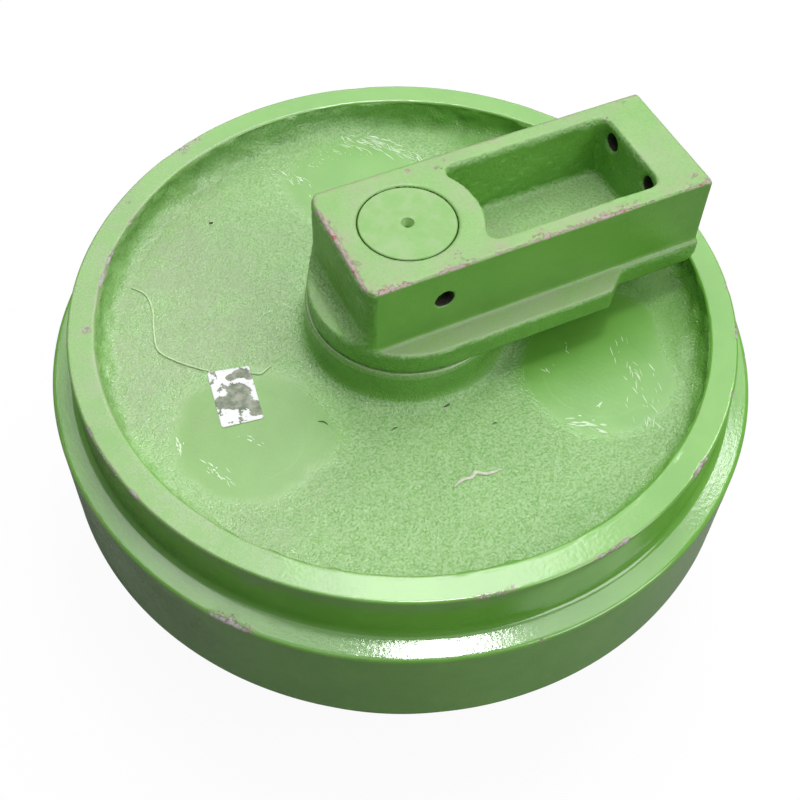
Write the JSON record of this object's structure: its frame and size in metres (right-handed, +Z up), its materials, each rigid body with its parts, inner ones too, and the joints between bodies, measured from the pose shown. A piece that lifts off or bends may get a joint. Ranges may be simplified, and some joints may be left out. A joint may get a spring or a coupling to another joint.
{
  "type": "excavator front idler",
  "caption": "Flanged track idler wheel turning on a fixed shaft, carried by pocketed cast brackets that slide in the track frame and bolt to the tensioner yoke.",
  "frame": {"origin": "centre of the wheel on the axle, which is also the centre of the overall box", "axes": "+Z up the axle, with the idler lying on its lower bracket; +X from the axle to the yoke end"},
  "size_m": [0.57, 0.5698, 0.377],
  "materials": {
    "wheel_paint": "gloss green paint over a sand casting",
    "cover_paint": "gloss green paint over ground steel",
    "bracket_paint": "satin green paint, chipped to red primer",
    "shaft_paint": "satin green paint over turned steel",
    "bush_bronze": "turned",
    "seal_iron": "lapped face",
    "seal_rubber": "matt",
    "pin_steel": "ground",
    "plug_steel": "turned",
    "washer_copper": "flat"
  },
  "bodies": {
    "axle": {"shaft": "shaft_paint", "upper_bracket": "bracket_paint", "lower_bracket": "bracket_paint", "upper_bracket_seal_ring": "seal_iron", "lower_bracket_seal_ring": "seal_iron", "upper_bracket_toric": "seal_rubber", "lower_bracket_toric": "seal_rubber", "upper_shaft_o_ring": "seal_rubber", "lower_shaft_o_ring": "seal_rubber", "upper_lock_pin": "pin_steel", "lower_lock_pin": "pin_steel", "oil_plug": "plug_steel", "plug_washer": "washer_copper"},
    "wheel": {"idler_wheel": "wheel_paint", "upper_core_cover_1": "cover_paint", "upper_core_cover_2": "cover_paint", "upper_core_cover_3": "cover_paint", "lower_core_cover_1": "cover_paint", "lower_core_cover_2": "cover_paint", "lower_core_cover_3": "cover_paint", "upper_bush": "bush_bronze", "lower_bush": "bush_bronze", "upper_hub_seal_ring": "seal_iron", "lower_hub_seal_ring": "seal_iron", "upper_hub_toric": "seal_rubber", "lower_hub_toric": "seal_rubber"}
  },
  "joints": [
    {"name": "wheel_spin", "type": "hinge", "parent": "axle", "child": "wheel", "pos_m": [0, 0, 0], "axis": [0, 0, 1], "continuous": true}
  ]
}
